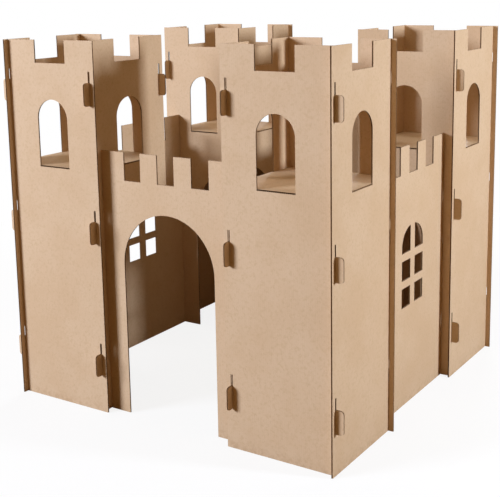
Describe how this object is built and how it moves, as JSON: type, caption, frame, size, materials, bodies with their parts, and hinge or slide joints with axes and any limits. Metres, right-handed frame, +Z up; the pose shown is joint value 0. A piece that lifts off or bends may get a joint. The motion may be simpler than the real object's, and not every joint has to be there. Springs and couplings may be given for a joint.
{
  "type": "cardboard play castle",
  "caption": "Play castle of flat corrugated card panels: square towers with windows, arched doorways and battlements, joined by walls with hook tabs dropped into slots.",
  "frame": {"origin": "centre of the castle's plan, on the ground it stands on", "axes": "+X along the front wall, to the right as seen from outside the front door, +Y from the front door to the back wall, +Z up"},
  "size_m": [1.4576, 1.4576, 1.4],
  "materials": {
    "kraft_board": "matt"
  },
  "bodies": {
    "root": {"front_left_tower_front_panel": "kraft_board", "front_left_tower_right_panel": "kraft_board", "front_left_tower_back_panel": "kraft_board", "front_left_tower_left_panel": "kraft_board", "front_left_tower_floor": "kraft_board", "front_right_tower_front_panel": "kraft_board", "front_right_tower_right_panel": "kraft_board", "front_right_tower_back_panel": "kraft_board", "front_right_tower_left_panel": "kraft_board", "front_right_tower_floor": "kraft_board", "back_right_tower_front_panel": "kraft_board", "back_right_tower_right_panel": "kraft_board", "back_right_tower_back_panel": "kraft_board", "back_right_tower_left_panel": "kraft_board", "back_right_tower_floor": "kraft_board", "back_left_tower_front_panel": "kraft_board", "back_left_tower_right_panel": "kraft_board", "back_left_tower_back_panel": "kraft_board", "back_left_tower_left_panel": "kraft_board", "back_left_tower_floor": "kraft_board", "front_wall": "kraft_board", "right_wall": "kraft_board", "back_wall": "kraft_board", "left_wall": "kraft_board"}
  },
  "joints": []
}
